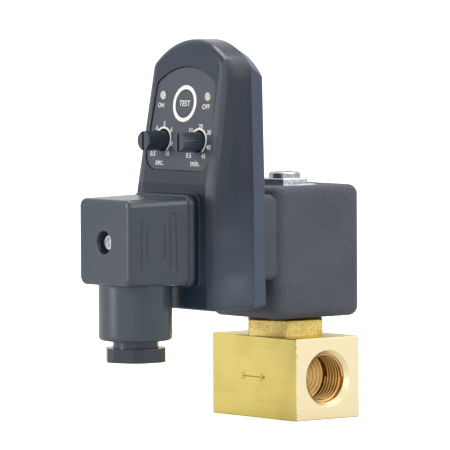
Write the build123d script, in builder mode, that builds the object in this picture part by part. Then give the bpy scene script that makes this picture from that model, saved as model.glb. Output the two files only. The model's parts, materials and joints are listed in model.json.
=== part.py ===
from build123d import *
import os
from math import radians, tan

os.makedirs("parts", exist_ok=True)

# Timed electronic drain valve: a brass two-way solenoid valve with a plug-on timer and a cable plug.
# Origin: centre of the brass body's base, on the armature axis. +X is the way the water flows,
# -Y is the operator's side and +Z is up. Millimetres. "Depth" is a distance from the armature
# axis towards the operator.

# ------------------------------------------------------------------ brass body
body_length = 41.3
body_width = 25.4
body_height = 25.4
body_edge = 0.2
port_bore = 14.95
port_mouth = 17.6
port_depth = 11.5
drill_angle = 118
outlet_passage = 5.3
inlet_passage = 3.8
passage_wall = 0.9
chamber_bore = 10.5
seat_bore = 4.0
seat_wall = 1.5
seat_rise = 5.1
bonnet_bore = 16.0
bonnet_reach = 6.2
bonnet_relief = 0.2

# ------------------------------------------------------------------ bonnet and armature
bonnet_flats = 23.0
bonnet_height = 5.2
bonnet_turn = 22
hex_chamfer = 0.4
ring_section = 1.5
tube_outer = 9.8
tube_wall = 0.6
stud_diameter = 9.8
stud_rise = 1.9
stud_rim = 1.8
stud_dish = 0.45
core_drop = 0.75
plunger_length = 34.5
plunger_stroke = 2.0
stroke_reserve = 0.2
plunger_hole = 4.6
plunger_hole_depth = 12.0
seal_diameter = 6.2
seal_height = 1.6
seal_proud = 0.3
shading_outer = 7.0
shading_wall = 0.6
shading_depth = 1.2
spring_diameter = 3.9
spring_wire = 0.6
spring_turns = 7

# ------------------------------------------------------------------ coil
washer_height = 0.7
washer_rim = 3.0
coil_width = 34.4
coil_depth = 34.4
coil_height = 41.0
coil_corner = 4.0
coil_edge = 3.0
coil_recess = 0.6
recess_gap = 0.3
nut_flats = 14.0
nut_height = 2.1
nut_washer_height = 0.5
nut_washer_diameter = 20.0
nut_turn = 18
yoke_width = 22.0
yoke_steel = 2.4
yoke_cover = 2.2
winding_diameter = 24.0
bobbin_wall = 1.1
bobbin_flange = 1.2
bobbin_flange_diameter = 25.4
pedestal_width = 31.6
pedestal_height = 26.4
pedestal_depth = 4.8
pedestal_corner = 2.5
pedestal_root = 8.6

# ------------------------------------------------------------------ plug interface (both ends of the timer)
plug_rise = 5.1
blade_spacing = 18.0
earth_drop = 7.6
blade_width = 6.3
blade_thickness = 0.8
blade_reach = 8.6
screw_diameter = 3.0

# ------------------------------------------------------------------ timer case, its heights from the bend
gasket_height = 0.8
rear_cover_depth = 5.4
front_cover_depth = 15.8
bend_rise = 17.1
skirt_length = 38.6
shoulder_rise = 36.0
hood_rise = 44.2
case_half_low = 19.6
case_half_bend = 19.3
case_half_high = 18.3
case_lean = 9.3
case_wall = 2.0
case_foot_radius = 1.5
case_shoulder_radius = 3.0
hood_edge = 2.4
skirt_edge = 0.9
rear_draft = 7.0
rear_edge = 0.9
tail_taper = 27.0
tail_room = 10.0
seam_step = 0.15
post_diameter = 4.8
post_low_x = 14.6
post_low_rise = 5.2
post_high_x = 9.4
post_high_drop = 8.6
cover_screw_diameter = 2.2
cover_screw_head = 4.0
cover_screw_head_height = 1.0
cover_screw_length = 8.0

# ------------------------------------------------------------------ control panel, measured up the slope
panel_low = 4.0
panel_shoulder = 31.0
panel_high = 36.3
panel_half_low = 16.2
panel_half_high = 14.4
panel_corner_low = 5.0
panel_corner_high = 3.0
panel_recess = 0.9
overlay_height = 0.5
button_slope = 24.8
button_diameter = 8.4
button_travel = 0.6
button_flange = 0.8
button_flange_height = 0.6
led_slope = 27.1
led_spacing = 22.0
led_diameter = 2.8
led_proud = 0.3
led_rim = 0.3
lead_diameter = 0.5
lead_spacing = 1.4
knob_rise = 13.0
knob_spacing = 17.5
knob_diameter = 6.0
knob_front = 49.2
knob_flutes = 18
knob_flute = 0.35
knob_edge = 0.3
knob_slot_width = 0.9
knob_slot_depth = 0.8
shaft_diameter = 3.0
shaft_socket = 4.5
pot_side = 9.5
pot_depth = 4.6

# ------------------------------------------------------------------ circuit board
board_gap = 4.4
board_thickness = 1.6
board_half_width = 15.0
board_low = 30.0
board_high = 32.0
switch_side = 6.0
switch_height = 1.6
switch_nub = 3.0
capacitor_diameter = 6.3
capacitor_length = 6.4
film_width = 12.0
film_height = 5.0
film_depth = 6.5
chip_width = 9.8
chip_height = 6.4
chip_depth = 3.2
components_rise = 2.5
capacitor_x = 7.4
film_x = 4.6
chip_drop = 5.6
standoff_x = 14.4
standoff_diameter = 2.8
contact_wall = 0.6
pin_reach = 8.5

# ------------------------------------------------------------------ cable plug
seat_width = 29.6
seat_height = 29.2
seat_depth = 2.0
seat_corner = 3.0
plug_gasket_height = 1.2
rim_side = 28.2
rim_depth = 1.8
plug_root_width = 27.0
plug_root_height = 27.2
plug_face_width = 24.9
plug_face_height = 26.4
plug_depth = 22.3
plug_corner = 2.5
plug_face_edge = 1.2
plug_wall = 1.8
screw_head = 5.2
screw_head_height = 1.9
screw_head_edge = 0.63
screw_sink = 1.7
screw_well = 7.2
screw_boss_wall = 1.5
barrel_diameter = 22.6
barrel_step = 0.8
barrel_drop = 30.3
barrel_edge = 1.2
barrel_wall = 2.2
neck_diameter = 14.0
neck_bore = 10.6
neck_length = 5.2
insert_depth = 12.6
insert_start = 0.8
clamp_screw_diameter = 3.0
clamp_screw_height = 1.0
clamp_share = 0.9
screw_cross = 0.9
screw_cross_length = 2.86

# ------------------------------------------------------------------ cable gland
gland_flats = 17.8
gland_cap = 0.5
gland_nut_height = 4.3
gland_nut_drop = 1.4
gland_lip = 1.2
gland_turn = 26
cable_bore = 7.0
cable_mouth = 8.0
gland_washer_height = 0.8
gland_seal_height = 6.0

# ------------------------------------------------------------------ clearances, each on one side
thread_gap = 0.05
plunger_gap = 0.1
swivel_gap = 0.15
moulding_gap = 0.05
assembly_gap = 0.2
shaft_gap = 0.1
button_gap = 0.15
knob_gap = 0.4

# ------------------------------------------------------------------ heights and depths that follow
port_z = body_height / 2
chamber_floor = port_z - outlet_passage / 2
inlet_z = chamber_floor - passage_wall - inlet_passage / 2
seat_top = chamber_floor + seat_rise
bonnet_foot = body_height - bonnet_reach
bonnet_top = body_height + bonnet_height
coil_bottom = bonnet_top + washer_height
coil_top = coil_bottom + coil_height
recess_floor = coil_top - coil_recess
recess_diameter = nut_washer_diameter + 2 * recess_gap
nut_seat = recess_floor + nut_washer_height
nut_top = nut_seat + nut_height
stud_top = nut_top + stud_rise

plunger_foot = seat_top + seal_proud
plunger_head = plunger_foot + plunger_length
core_foot = plunger_head + plunger_stroke + stroke_reserve
core_head = recess_floor - core_drop
tube_inner = tube_outer - 2 * tube_wall
coil_bore = tube_outer + 2 * swivel_gap

plug_height = (coil_bottom + coil_top) / 2 + plug_rise
case_bend = plug_height + bend_rise
case_bottom = case_bend - skirt_length
case_shoulder = case_bend + shoulder_rise
case_top = case_bend + hood_rise
knob_z = case_bend + knob_rise
board_bottom = case_bend - board_low
board_top = case_bend + board_high
components_z = case_bend + components_rise
chip_z = case_bend - chip_drop

pedestal_front = coil_depth / 2 + pedestal_depth
case_back = pedestal_front + gasket_height
parting = case_back + rear_cover_depth
case_front = parting + front_cover_depth
board_back = parting + board_gap
board_front = board_back + board_thickness
seat_front = case_front + seat_depth
rim_back = seat_front + plug_gasket_height
rim_front = rim_back + rim_depth
plug_front = rim_front + plug_depth
screw_clearance = screw_diameter + 2 * assembly_gap
screw_seat = plug_front - screw_sink - screw_head_height
blade_tip = pedestal_front + blade_reach

barrel_depth = rim_back + barrel_step + barrel_diameter / 2
barrel_bottom = plug_height - barrel_drop
neck_end = barrel_bottom - neck_length
gland_nut_bottom = neck_end - gland_nut_drop
gland_nut_top = gland_nut_bottom + gland_nut_height


def facing(depth):
    """A plane that looks at the operator, at this depth. Its x is +X and its y is +Z."""
    return Plane(origin=(0, -depth, 0), x_dir=(1, 0, 0), z_dir=(0, -1, 0))


def slope_plane(inset=0.0):
    """The leaning front of the hood, sunk by inset. It starts at the bend and its y runs up the slope."""
    bend = Plane(origin=(0, -case_front, case_bend), x_dir=(1, 0, 0), z_dir=(0, -1, 0))
    return bend.rotated((-case_lean, 0, 0)).offset(-inset)


def slope_height(slope):
    """The height of a point of the panel that lies this far up the slope."""
    return slope_plane().from_local_coords((0, slope, 0)).Z


def slope_depth(z, inset=0.0):
    """The depth of the leaning front at height z."""
    return case_front - (z - case_bend) * tan(radians(case_lean)) - inset


def blades(start, end, grow=0.0):
    """The plug pattern: two live blades beside the screw and one earth blade below it."""
    with BuildPart() as blade_set:
        with BuildSketch(facing(start)):
            with Locations((-blade_spacing / 2, plug_height), (blade_spacing / 2, plug_height)):
                Rectangle(blade_thickness + 2 * grow, blade_width + 2 * grow)
            with Locations((0, plug_height - earth_drop)):
                Rectangle(blade_width + 2 * grow, blade_thickness + 2 * grow)
        extrude(amount=end - start)
    return blade_set.part


def rod(x, z, diameter, start, end):
    """A round bar along the depth, for pins, posts and holes."""
    with BuildPart() as bar:
        with BuildSketch(facing(start)):
            with Locations((x, z)):
                Circle(diameter / 2)
        extrude(amount=end - start)
    return bar.part


def case_outline(depth, inset=0.0):
    """The timer's outline at this depth, drawn in by inset: straight sides under an arched top."""
    with BuildSketch(facing(depth)) as outline:
        with BuildLine():
            shoulder_right = (case_half_high, case_shoulder)
            shoulder_left = (-case_half_high, case_shoulder)
            Polyline((case_half_low, case_bottom), (case_half_bend, case_bend), shoulder_right)
            ThreePointArc(shoulder_right, (0, case_top), shoulder_left)
            Polyline(shoulder_left, (-case_half_bend, case_bend), (-case_half_low, case_bottom))
            Line((-case_half_low, case_bottom), (case_half_low, case_bottom))
        make_face()
        fillet(vertices().group_by(Axis.Y)[0], radius=case_foot_radius)
        fillet(vertices().group_by(Axis.Y)[-1], radius=case_shoulder_radius)
        if inset:
            offset(amount=-inset, kind=Kind.INTERSECTION)
    return outline.sketch


def tail_block(inset=0.0):
    """Where the rear cover may be: its arch tapers in quickly, its sides and its foot are free."""
    arch_radius = (case_half_high**2 + (case_top - case_shoulder)**2) / (case_top - case_shoulder) / 2
    arch_z = case_top - arch_radius
    with BuildPart() as tail:
        with BuildSketch(facing(parting)):
            with Locations((0, arch_z)):
                Circle(arch_radius - inset)
                Rectangle(2 * (arch_radius - inset), arch_z - case_bottom + tail_room,
                          align=(Align.CENTER, Align.MAX))
        extrude(amount=case_back - parting, taper=tail_taper)
    return tail.part


def case_block(start, end, inset=0.0):
    """The timer's outline pushed out from start to end and cut off by the leaning front."""
    with BuildPart() as block:
        extrude(case_outline(start, inset), amount=end - start)
        split(bisect_by=slope_plane(inset), keep=Keep.BOTTOM)
    return block.part


# ================================================================== brass body
with BuildPart() as valve_body:
    Box(body_length, body_width, body_height, align=(Align.CENTER, Align.CENTER, Align.MIN))
    chamfer(edges(), length=body_edge)
    drill_drop = (port_bore - outlet_passage) / 2 / tan(radians(drill_angle / 2))
    for side in (-1, 1):
        with Locations(Location((side * body_length / 2, 0, port_z), (0, 90 * side, 0))):
            CounterSinkHole(port_bore / 2, port_mouth / 2, depth=port_depth, counter_sink_angle=90)
        with Locations(Location((side * (body_length / 2 - port_depth), 0, port_z), (0, 90 * side, 0))):
            Cone(outlet_passage / 2, port_bore / 2, drill_drop,
                 align=(Align.CENTER, Align.CENTER, Align.MAX), mode=Mode.SUBTRACT)
    # The bonnet screws into the top. Below it the seat stands up from the chamber's floor.
    with BuildSketch(Plane.XY.offset(bonnet_foot - bonnet_relief)):
        Circle(bonnet_bore / 2)
    extrude(amount=body_height, mode=Mode.SUBTRACT)
    with BuildSketch(Plane.XY.offset(chamber_floor)):
        Circle(chamber_bore / 2)
    extrude(amount=body_height, mode=Mode.SUBTRACT)
    with BuildSketch(Plane.YZ):
        with Locations((0, port_z)):
            Circle(outlet_passage / 2)
    extrude(amount=body_length / 2, mode=Mode.SUBTRACT)
    with BuildSketch(Plane.XY.offset(inlet_z - inlet_passage / 2 - passage_wall)):
        Circle(seat_bore / 2 + seat_wall)
    extrude(amount=seat_top - inlet_z + inlet_passage / 2 + passage_wall)
    with BuildSketch(Plane.XY.offset(inlet_z)):
        Circle(seat_bore / 2)
    extrude(amount=body_height, mode=Mode.SUBTRACT)
    with BuildSketch(Plane.YZ.offset(seat_bore / 2)):
        with Locations((0, inlet_z)):
            Circle(inlet_passage / 2)
    extrude(amount=port_depth - body_length / 2 - seat_bore / 2, mode=Mode.SUBTRACT)
valve_body.part.label = "valve_body"
export_step(valve_body.part, "parts/valve_body.step")


# ================================================================== bonnet and its ring
groove_top = body_height
groove_inner = bonnet_bore - 2 * ring_section
with BuildPart() as bonnet:
    with BuildSketch(Plane.XY.offset(body_height)):
        RegularPolygon(bonnet_flats / 2, 6, major_radius=False, rotation=bonnet_turn)
    extrude(amount=bonnet_height)
    chamfer(faces().sort_by(Axis.Z)[-1].edges(), length=hex_chamfer)
    with BuildSketch(Plane.XY.offset(bonnet_foot)):
        Circle(bonnet_bore / 2 - thread_gap)
    extrude(amount=bonnet_reach)
    # A relief under the hexagon holds the sealing ring.
    with BuildSketch(Plane.XY.offset(groove_top - ring_section)):
        Circle(bonnet_bore / 2)
        Circle(groove_inner / 2, mode=Mode.SUBTRACT)
    extrude(amount=ring_section, mode=Mode.SUBTRACT)
    with BuildSketch(Plane.XY.offset(bonnet_foot)):
        Circle(tube_outer / 2 + thread_gap)
    extrude(amount=bonnet_reach + bonnet_height, mode=Mode.SUBTRACT)
bonnet.part.label = "bonnet"
export_step(bonnet.part, "parts/bonnet.step")

with BuildPart() as bonnet_ring:
    with BuildSketch(Plane.XZ):
        with Locations(((bonnet_bore - ring_section) / 2, groove_top - ring_section / 2)):
            Circle(ring_section / 2 - thread_gap)
    revolve(axis=Axis.Z)
bonnet_ring.part.label = "bonnet_ring"
export_step(bonnet_ring.part, "parts/bonnet_ring.step")


# ================================================================== armature tube, core and plunger
with BuildPart() as armature_tube:
    with BuildSketch(Plane.XY.offset(bonnet_foot)):
        Circle(tube_outer / 2)
        Circle(tube_inner / 2, mode=Mode.SUBTRACT)
    extrude(amount=core_head - bonnet_foot)
armature_tube.part.label = "armature_tube"
export_step(armature_tube.part, "parts/armature_tube.step")

shading_inner = shading_outer - 2 * shading_wall
with BuildPart() as fixed_core:
    with BuildSketch(Plane.XY.offset(core_foot)):
        Circle(tube_inner / 2 - thread_gap)
    extrude(amount=core_head - core_foot)
    with BuildSketch(Plane.XY.offset(core_head)):
        Circle(stud_diameter / 2)
    extrude(amount=stud_top - core_head)
    chamfer(faces().sort_by(Axis.Z)[-1].edges(), length=hex_chamfer)
    with BuildSketch(Plane.XY.offset(stud_top)):
        Circle(stud_diameter / 2 - stud_rim)
    extrude(amount=-stud_dish, mode=Mode.SUBTRACT)
    with BuildSketch(Plane.XY.offset(core_foot)):
        Circle(shading_outer / 2)
        Circle(shading_inner / 2, mode=Mode.SUBTRACT)
    extrude(amount=shading_depth, mode=Mode.SUBTRACT)
fixed_core.part.label = "fixed_core"
export_step(fixed_core.part, "parts/fixed_core.step")

with BuildPart() as shading_ring:
    with BuildSketch(Plane.XY.offset(core_foot + moulding_gap)):
        Circle(shading_outer / 2 - moulding_gap)
        Circle(shading_inner / 2 + moulding_gap, mode=Mode.SUBTRACT)
    extrude(amount=shading_depth - 2 * moulding_gap)
shading_ring.part.label = "shading_ring"
export_step(shading_ring.part, "parts/shading_ring.step")

with BuildPart() as plunger:
    with BuildSketch(Plane.XY.offset(plunger_foot)):
        Circle(tube_inner / 2 - plunger_gap)
    extrude(amount=plunger_length)
    chamfer(edges().filter_by(GeomType.CIRCLE), length=hex_chamfer)
    with BuildSketch(Plane.XY.offset(plunger_head - plunger_hole_depth)):
        Circle(plunger_hole / 2)
    extrude(amount=plunger_hole_depth, mode=Mode.SUBTRACT)
    with BuildSketch(Plane.XY.offset(plunger_foot)):
        Circle(seal_diameter / 2)
    extrude(amount=seal_height - seal_proud, mode=Mode.SUBTRACT)
plunger.part.label = "plunger"
export_step(plunger.part, "parts/plunger.step")

with BuildPart() as plunger_seal:
    with BuildSketch(Plane.XY.offset(seat_top)):
        Circle(seal_diameter / 2 - moulding_gap)
    extrude(amount=seal_height)
plunger_seal.part.label = "plunger_seal"
export_step(plunger_seal.part, "parts/plunger_seal.step")

spring_foot = plunger_head - plunger_hole_depth + spring_wire / 2
spring_head = core_foot - spring_wire / 2
spring_radius = (spring_diameter - spring_wire) / 2
spring_length = spring_head - spring_foot
with BuildPart() as plunger_spring:
    with BuildLine():
        Helix(spring_length / spring_turns, spring_length, spring_radius, center=(0, 0, spring_foot))
    with BuildSketch(Plane(origin=(spring_radius, 0, spring_foot), z_dir=(0, 1, 0))):
        RegularPolygon(spring_wire / 2, 6)
    sweep(is_frenet=True)
plunger_spring.part.label = "plunger_spring"
export_step(plunger_spring.part, "parts/plunger_spring.step")


# ================================================================== coil, its washers and its nut
with BuildPart() as coil_washer:
    with BuildSketch(Plane.XY.offset(bonnet_top)):
        Circle(tube_outer / 2 + swivel_gap + washer_rim)
        Circle(tube_outer / 2 + swivel_gap, mode=Mode.SUBTRACT)
    extrude(amount=washer_height)
coil_washer.part.label = "coil_washer"
export_step(coil_washer.part, "parts/coil_washer.step")

yoke_bottom = coil_bottom + yoke_cover
yoke_top = recess_floor - yoke_cover
yoke_back = bobbin_flange_diameter / 2 + assembly_gap + yoke_steel
bobbin_bottom = yoke_bottom + yoke_steel + moulding_gap
bobbin_top = yoke_top - yoke_steel - moulding_gap


def yoke_block(grow=0.0):
    """The steel frame round the winding: two flat cheeks joined by a leg behind it."""
    with BuildPart() as frame:
        for z in (yoke_bottom, yoke_top - yoke_steel):
            with BuildSketch(Plane.XY.offset(z - grow)):
                with Locations((0, (yoke_back - yoke_width / 2) / 2)):
                    Rectangle(yoke_width + 2 * grow, yoke_back + yoke_width / 2 + 2 * grow)
            extrude(amount=yoke_steel + 2 * grow)
        with BuildSketch(Plane.XY.offset(yoke_bottom)):
            with Locations((0, yoke_back - yoke_steel / 2)):
                Rectangle(yoke_width + 2 * grow, yoke_steel + 2 * grow)
        extrude(amount=yoke_top - yoke_bottom)
    return frame.part


with BuildPart() as coil_yoke:
    add(yoke_block())
    with BuildSketch(Plane.XY.offset(yoke_bottom)):
        Circle(coil_bore / 2)
    extrude(amount=yoke_top - yoke_bottom, mode=Mode.SUBTRACT)
coil_yoke.part.label = "coil_yoke"
export_step(coil_yoke.part, "parts/coil_yoke.step")

with BuildPart() as coil_bobbin:
    with BuildSketch(Plane.XY.offset(bobbin_bottom)):
        Circle(coil_bore / 2 + bobbin_wall)
    extrude(amount=bobbin_top - bobbin_bottom)
    for z in (bobbin_bottom, bobbin_top - bobbin_flange):
        with BuildSketch(Plane.XY.offset(z)):
            Circle(bobbin_flange_diameter / 2)
        extrude(amount=bobbin_flange)
    with BuildSketch(Plane.XY.offset(bobbin_bottom)):
        Circle(coil_bore / 2)
    extrude(amount=bobbin_top - bobbin_bottom, mode=Mode.SUBTRACT)
coil_bobbin.part.label = "coil_bobbin"
export_step(coil_bobbin.part, "parts/coil_bobbin.step")

with BuildPart() as coil_winding:
    with BuildSketch(Plane.XY.offset(bobbin_bottom + bobbin_flange + moulding_gap)):
        Circle(winding_diameter / 2)
        Circle(coil_bore / 2 + bobbin_wall + moulding_gap, mode=Mode.SUBTRACT)
    extrude(amount=bobbin_top - bobbin_bottom - 2 * bobbin_flange - 2 * moulding_gap)
coil_winding.part.label = "coil_winding"
export_step(coil_winding.part, "parts/coil_winding.step")

blade_root = winding_diameter / 2 + yoke_steel
with BuildPart() as coil_terminals:
    add(blades(blade_root, blade_tip))
coil_terminals.part.label = "coil_terminals"
export_step(coil_terminals.part, "parts/coil_terminals.step")

screw_tip = coil_depth / 2 + moulding_gap
with BuildPart() as coil_housing:
    with BuildSketch(Plane.XY.offset(coil_bottom)):
        RectangleRounded(coil_width, coil_depth, coil_corner)
    extrude(amount=coil_height)
    fillet(faces().sort_by(Axis.Z)[0].edges() + faces().sort_by(Axis.Z)[-1].edges(), radius=coil_edge)
    with BuildSketch(facing(pedestal_root)):
        with Locations((0, plug_height)):
            RectangleRounded(pedestal_width, pedestal_height, pedestal_corner)
    extrude(amount=pedestal_front - pedestal_root)
    with BuildSketch(Plane.XY.offset(recess_floor)):
        Circle(recess_diameter / 2)
    extrude(amount=coil_recess, mode=Mode.SUBTRACT)
    with BuildSketch(Plane.XY.offset(coil_bottom)):
        Circle(coil_bore / 2)
    extrude(amount=coil_height, mode=Mode.SUBTRACT)
    with BuildSketch(Plane.XY.offset(bobbin_bottom)):
        Circle(bobbin_flange_diameter / 2 + moulding_gap)
    extrude(amount=bobbin_top - bobbin_bottom, mode=Mode.SUBTRACT)
    add(yoke_block(moulding_gap), mode=Mode.SUBTRACT)
    add(blades(blade_root - moulding_gap, pedestal_front, moulding_gap), mode=Mode.SUBTRACT)
    add(rod(0, plug_height, screw_diameter + 2 * thread_gap, screw_tip, pedestal_front), mode=Mode.SUBTRACT)
coil_housing.part.label = "coil_housing"
export_step(coil_housing.part, "parts/coil_housing.step")

with BuildPart() as nut_washer:
    with BuildSketch(Plane.XY.offset(recess_floor)):
        Circle(nut_washer_diameter / 2)
        Circle(coil_bore / 2, mode=Mode.SUBTRACT)
    extrude(amount=nut_washer_height)
nut_washer.part.label = "nut_washer"
export_step(nut_washer.part, "parts/nut_washer.step")

with BuildPart() as coil_nut:
    with BuildSketch(Plane.XY.offset(nut_seat)):
        RegularPolygon(nut_flats / 2, 6, major_radius=False, rotation=nut_turn)
    extrude(amount=nut_height)
    chamfer(faces().sort_by(Axis.Z)[-1].edges(), length=hex_chamfer / 2)
    with BuildSketch(Plane.XY.offset(nut_seat)):
        Circle(stud_diameter / 2 + thread_gap)
    extrude(amount=nut_height, mode=Mode.SUBTRACT)
coil_nut.part.label = "coil_nut"
export_step(coil_nut.part, "parts/coil_nut.step")

with BuildPart() as coil_gasket:
    with BuildSketch(facing(pedestal_front)):
        with Locations((0, plug_height)):
            RectangleRounded(pedestal_width - 2 * assembly_gap, pedestal_height - 2 * assembly_gap,
                             pedestal_corner)
    extrude(amount=gasket_height)
    add(blades(pedestal_front, case_back, assembly_gap), mode=Mode.SUBTRACT)
    add(rod(0, plug_height, screw_clearance, pedestal_front, case_back), mode=Mode.SUBTRACT)
coil_gasket.part.label = "coil_gasket"
export_step(coil_gasket.part, "parts/coil_gasket.step")


# ================================================================== timer case
low_posts = [(side * post_low_x, case_bottom + post_low_rise) for side in (-1, 1)]
high_posts = [(side * post_high_x, case_top - post_high_drop) for side in (-1, 1)]
posts = low_posts + high_posts
knob_places = [(side * knob_spacing / 2, knob_z) for side in (-1, 1)]
led_z = slope_height(led_slope)
led_places = [(side * led_spacing / 2, led_z) for side in (-1, 1)]
cover_screw_seat = case_back + case_wall / 2

rear_floor = case_back + case_wall
with BuildPart() as rear_room:
    extrude(case_outline(rear_floor, case_wall + seam_step), amount=parting - rear_floor)
    add(tail_block(case_wall + seam_step), mode=Mode.INTERSECT)

with BuildPart() as rear_cover:
    extrude(case_outline(parting, seam_step), amount=-rear_cover_depth, taper=rear_draft)
    add(tail_block(seam_step), mode=Mode.INTERSECT)
    fillet(faces().sort_by(Axis.Y)[-1].edges(), radius=rear_edge)
    add(rear_room, mode=Mode.SUBTRACT)
    for x, z in posts:
        add(rod(x, z, post_diameter, case_back + rear_edge, parting))
        add(rod(x, z, cover_screw_head + 2 * assembly_gap, case_back, cover_screw_seat), mode=Mode.SUBTRACT)
        add(rod(x, z, cover_screw_diameter + 2 * assembly_gap, case_back, parting), mode=Mode.SUBTRACT)
    add(blades(case_back, rear_floor, assembly_gap), mode=Mode.SUBTRACT)
    add(rod(0, plug_height, screw_clearance, case_back, rear_floor), mode=Mode.SUBTRACT)
rear_cover.part.label = "rear_cover"
export_step(rear_cover.part, "parts/rear_cover.step")

with BuildPart() as cover_screws:
    for x, z in posts:
        add(rod(x, z, cover_screw_head, cover_screw_seat - cover_screw_head_height, cover_screw_seat))
        add(rod(x, z, cover_screw_diameter, cover_screw_seat, cover_screw_seat + cover_screw_length))
cover_screws.part.label = "cover_screws"
export_step(cover_screws.part, "parts/cover_screws.step")


def panel_block(top, bottom, inset=0.0):
    """The arched control panel, wide below and narrow above, from top to bottom below the hood."""
    with BuildPart() as block:
        with BuildSketch(slope_plane(top)):
            with BuildLine():
                right = (panel_half_high, panel_shoulder)
                left = (-panel_half_high, panel_shoulder)
                Line((panel_half_low, panel_low), right)
                ThreePointArc(right, (0, panel_high), left)
                Line(left, (-panel_half_low, panel_low))
                Line((-panel_half_low, panel_low), (panel_half_low, panel_low))
            make_face()
            fillet(vertices().group_by(Axis.Y)[0], radius=panel_corner_low)
            fillet(vertices().group_by(Axis.Y)[-1], radius=panel_corner_high)
            if inset:
                offset(amount=-inset, kind=Kind.INTERSECTION)
        extrude(amount=top - bottom)
    return block.part


def button_block(diameter, top, bottom):
    """A disc on the button's axis, from top to bottom below the hood's surface."""
    with BuildPart() as block:
        with BuildSketch(slope_plane(top)):
            with Locations((0, button_slope)):
                Circle(diameter / 2)
        extrude(amount=top - bottom)
    return block.part


def panel_holes(start):
    """The round holes for the two lamps and the two knobs, and the button's hole on its own axis."""
    with BuildPart() as holes:
        for x, z in led_places:
            add(rod(x, z, led_diameter + 2 * moulding_gap, start, case_front))
        for x, z in knob_places:
            add(rod(x, z, knob_diameter + 2 * knob_gap, start, case_front))
        add(button_block(button_diameter + 2 * button_gap, -case_wall, case_wall * 2))
    return holes.part


overlay_top = panel_recess - overlay_height
inner_front = case_front - case_wall
with BuildPart() as front_cover:
    add(case_block(parting, case_front))
    hood_face = faces().sort_by(Axis((0, 0, 0), slope_plane().z_dir))[-1]
    fillet([e for e in hood_face.edges() if e.center().Z > case_bend + moulding_gap], radius=hood_edge)
    skirt_face = faces().sort_by(Axis.Y)[0]
    fillet([e for e in skirt_face.edges() if e.center().Z < case_bend - moulding_gap], radius=skirt_edge)
    add(case_block(parting, inner_front, case_wall), mode=Mode.SUBTRACT)
    # The recess for the control panel has a floor as thick as half the wall.
    add(panel_block(-case_wall, panel_recess), mode=Mode.SUBTRACT)
    # A seat for the cable plug stands on the skirt.
    with BuildSketch(facing(case_front)):
        with Locations((0, plug_height)):
            RectangleRounded(seat_width, seat_height, seat_corner)
    extrude(amount=seat_depth)
    for x, z in low_posts:
        add(rod(x, z, post_diameter, parting, inner_front))
    for x, z in high_posts:
        add(rod(x, z, post_diameter, parting, slope_depth(z, case_wall)))
    for x, z in posts:
        add(rod(x, z, cover_screw_diameter + 2 * thread_gap, parting,
                cover_screw_seat + cover_screw_length + moulding_gap), mode=Mode.SUBTRACT)
    # Two stand-offs hold the circuit board at the plug, clear of its blades.
    for side in (-1, 1):
        add(rod(side * standoff_x, plug_height, standoff_diameter, board_front, inner_front))
    add(panel_holes(board_front), mode=Mode.SUBTRACT)
    add(blades(inner_front, seat_front, moulding_gap), mode=Mode.SUBTRACT)
    add(rod(0, plug_height, screw_clearance, inner_front, seat_front), mode=Mode.SUBTRACT)
front_cover.part.label = "front_cover"
export_step(front_cover.part, "parts/front_cover.step")

with BuildPart() as panel_overlay:
    add(panel_block(overlay_top, panel_recess, assembly_gap))
    add(panel_holes(board_front), mode=Mode.SUBTRACT)
panel_overlay.part.label = "panel_overlay"
export_step(panel_overlay.part, "parts/panel_overlay.step")


# ================================================================== button, lamps and knobs
flange_top = case_wall + moulding_gap
with BuildPart() as test_button:
    add(button_block(button_diameter, overlay_top, flange_top))
    chamfer(edges().filter_by(GeomType.CIRCLE), length=moulding_gap)
    add(button_block(button_diameter + 2 * button_flange, flange_top, flange_top + button_flange_height))
test_button.part.label = "test_button"
export_step(test_button.part, "parts/test_button.step")

# The switch's nub stops just short of the button's back when that is pressed home.
button_z = slope_height(button_slope)
button_back = flange_top + button_flange_height + button_travel + button_gap
nub_lean = switch_nub / 2 * tan(radians(case_lean))
nub_tip = -slope_plane(button_back).from_local_coords((0, button_slope, 0)).Y - nub_lean
with BuildPart() as tact_switch:
    with BuildSketch(facing(board_front)):
        with Locations((0, button_z)):
            Rectangle(switch_side, switch_side)
    extrude(amount=switch_height)
    add(rod(0, button_z, switch_nub, board_front, nub_tip))
tact_switch.part.label = "tact_switch"
export_step(tact_switch.part, "parts/tact_switch.step")

led_face = slope_depth(led_z, overlay_top) + led_proud
led_inner = slope_depth(led_z, case_wall) - led_diameter / 2
for lamp, (x, z) in zip(("led_on", "led_off"), led_places):
    with BuildPart() as led:
        add(rod(x, z, led_diameter, led_inner - led_rim, led_face))
        fillet(faces().sort_by(Axis.Y)[0].edges(), radius=led_rim)
        add(rod(x, z, led_diameter + 2 * led_rim, led_inner - 2 * led_rim, led_inner - led_rim))
        for side in (-1, 1):
            add(rod(x + side * lead_spacing / 2, z, lead_diameter, board_front, led_inner - led_rim))
    led.part.label = lamp
    export_step(led.part, "parts/" + lamp + ".step")

pot_front = board_front + pot_depth
knob_back = pot_front + assembly_gap
shaft_front = knob_back + shaft_socket
with BuildPart() as potentiometers:
    for x, z in knob_places:
        with BuildSketch(facing(board_front)):
            with Locations((x, z)):
                Rectangle(pot_side, pot_side)
                Circle(shaft_diameter / 2 + shaft_gap, mode=Mode.SUBTRACT)
        extrude(amount=pot_depth)
potentiometers.part.label = "potentiometers"
export_step(potentiometers.part, "parts/potentiometers.step")

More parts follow.
